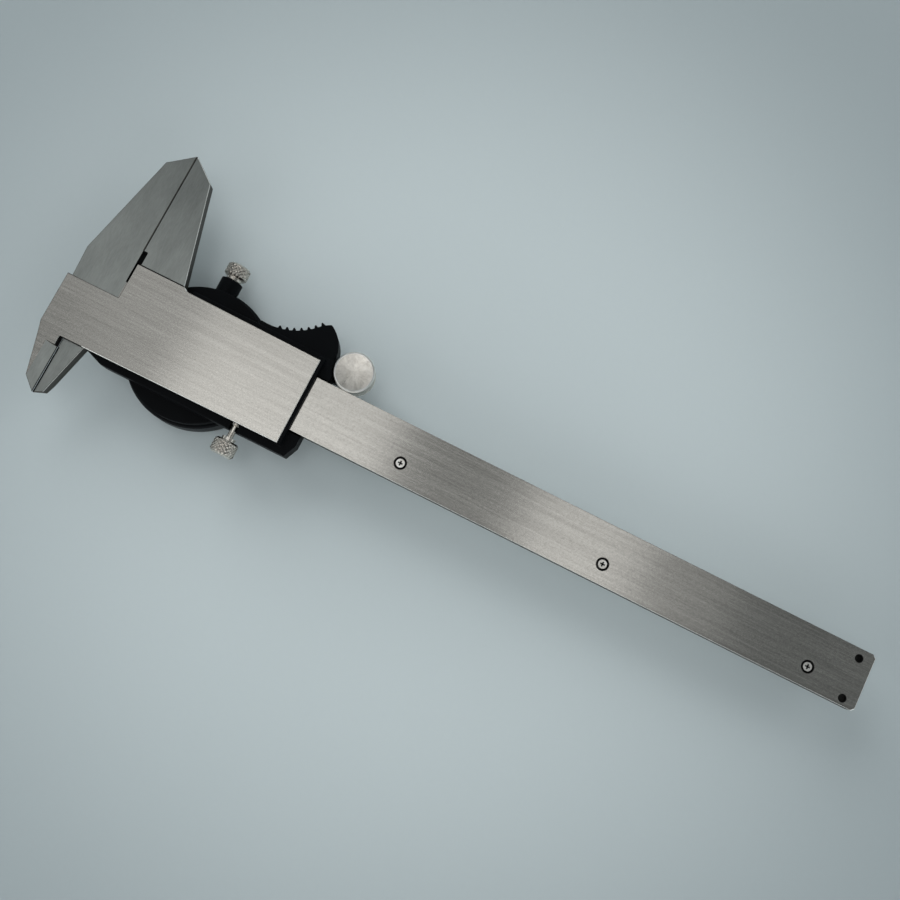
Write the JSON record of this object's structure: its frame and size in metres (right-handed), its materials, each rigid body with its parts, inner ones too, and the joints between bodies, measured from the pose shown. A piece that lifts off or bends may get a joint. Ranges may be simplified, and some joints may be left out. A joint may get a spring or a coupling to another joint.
{
  "type": "dial caliper",
  "caption": "Sliding measuring caliper with a flat steel beam, outer and inner jaws, a round dial driven by a rack, a ribbed thumb grip and a thumb roller.",
  "frame": {"origin": "middle of the footprint, on the plane of the bezel's flat front, with the jaws closed", "axes": "+X along the beam from the jaws to its free end, +Y towards the outer jaws, +Z from the dial towards the plain back"},
  "size_m": [0.2388, 0.0782, 0.0158],
  "materials": {
    "satin_steel": "satin ground along its length",
    "turned_steel": "turned and polished face, knurled side",
    "rack_steel": "machined",
    "screw_steel": "machined",
    "knurled_nickel": "nickel-plated, knurled",
    "spring_steel": "spring steel",
    "black_housing": "moulded black, fine grain",
    "black_rim": "black anodised",
    "brass": "machined",
    "nylon": "plain",
    "crystal": "clear",
    "dial_white": "printed matt white",
    "pointer_black": "black"
  },
  "bodies": {
    "beam": {"beam": "satin_steel", "rack": "rack_steel", "rack_screws": "screw_steel", "end_stop": "satin_steel", "end_stop_screws": "screw_steel"},
    "slider": {"slider_frame": "satin_steel", "gib": "brass", "gib_screws": "screw_steel", "depth_rod": "satin_steel", "end_wiper": "black_housing", "housing": "black_housing", "housing_screws": "screw_steel", "bezel_ring": "spring_steel", "movement_plate": "brass", "bridge": "brass", "bridge_screws": "screw_steel", "hairspring": "spring_steel"},
    "bezel": {"bezel": "black_rim", "crystal": "crystal", "dial_spacer": "nylon", "dial_face": "dial_white"},
    "rack_wheel": {"rack_wheel": "brass"},
    "centre_pinion": {"centre_pinion": "brass", "pointer": "pointer_black"},
    "backlash_wheel": {"backlash_wheel": "brass"},
    "thumb_roller": {"thumb_roller": "turned_steel", "roller_washer": "screw_steel", "roller_screw": "screw_steel"},
    "lock_pad": {"lock_pad": "brass"},
    "lock_screw": {"lock_screw": "knurled_nickel"},
    "bezel_clamp_shoe": {"bezel_clamp_shoe": "nylon"},
    "bezel_clamp_screw": {"bezel_clamp_screw": "knurled_nickel"}
  },
  "joints": [
    {"name": "slider_slide", "type": "slide", "parent": "beam", "child": "slider", "axis": [1, 0, 0], "range_m": [0, 0.15]},
    {"name": "bezel_turn", "type": "hinge", "parent": "slider", "child": "bezel", "pos_m": [-0.0798, -0.01005, 0.0035], "axis": [0, 0, 1], "continuous": true},
    {"name": "rack_wheel_spin", "type": "hinge", "parent": "slider", "child": "rack_wheel", "pos_m": [-0.08673, -0.00908, 0.008], "axis": [0, 0, 1], "range_deg": [-5401, 1]},
    {"name": "pointer_spin", "type": "hinge", "parent": "slider", "child": "centre_pinion", "pos_m": [-0.0798, -0.01005, 0.006], "axis": [0, 0, 1], "range_deg": [-1, 27001]},
    {"name": "backlash_wheel_spin", "type": "hinge", "parent": "slider", "child": "backlash_wheel", "pos_m": [-0.0728, -0.01005, 0.007], "axis": [0, 0, 1], "range_deg": [-5401, 1]},
    {"name": "thumb_roller_spin", "type": "hinge", "parent": "slider", "child": "thumb_roller", "pos_m": [-0.0384, 0.00435, 0.011], "axis": [0, 0, 1], "range_deg": [-1516.8, 1]},
    {"name": "lock_pad_slide", "type": "slide", "parent": "slider", "child": "lock_pad", "axis": [0, 1, 0], "range_m": [0, 0.00025]},
    {"name": "lock_screw_turn", "type": "hinge", "parent": "lock_pad", "child": "lock_screw", "pos_m": [-0.0603, -0.02435, 0.01235], "axis": [0, 1, 0], "range_deg": [0, 181]},
    {"name": "clamp_shoe_slide", "type": "slide", "parent": "slider", "child": "bezel_clamp_shoe", "axis": [0, -1, 0], "range_m": [0, 0.00025]},
    {"name": "clamp_screw_turn", "type": "hinge", "parent": "bezel_clamp_shoe", "child": "bezel_clamp_screw", "pos_m": [-0.0818, 0.01465, 0.0064], "axis": [0, -1, 0], "range_deg": [0, 181]}
  ],
  "couplings": [
    {"joint": "rack_wheel_spin", "follows": "slider_slide", "rad_per_m": -628.32},
    {"joint": "pointer_spin", "follows": "slider_slide", "rad_per_m": 3141.6},
    {"joint": "backlash_wheel_spin", "follows": "slider_slide", "rad_per_m": -628.32},
    {"joint": "thumb_roller_spin", "follows": "slider_slide", "rad_per_m": -176.37},
    {"joint": "lock_screw_turn", "follows": "lock_pad_slide", "rad_per_m": 12566},
    {"joint": "clamp_screw_turn", "follows": "clamp_shoe_slide", "rad_per_m": 12566}
  ]
}
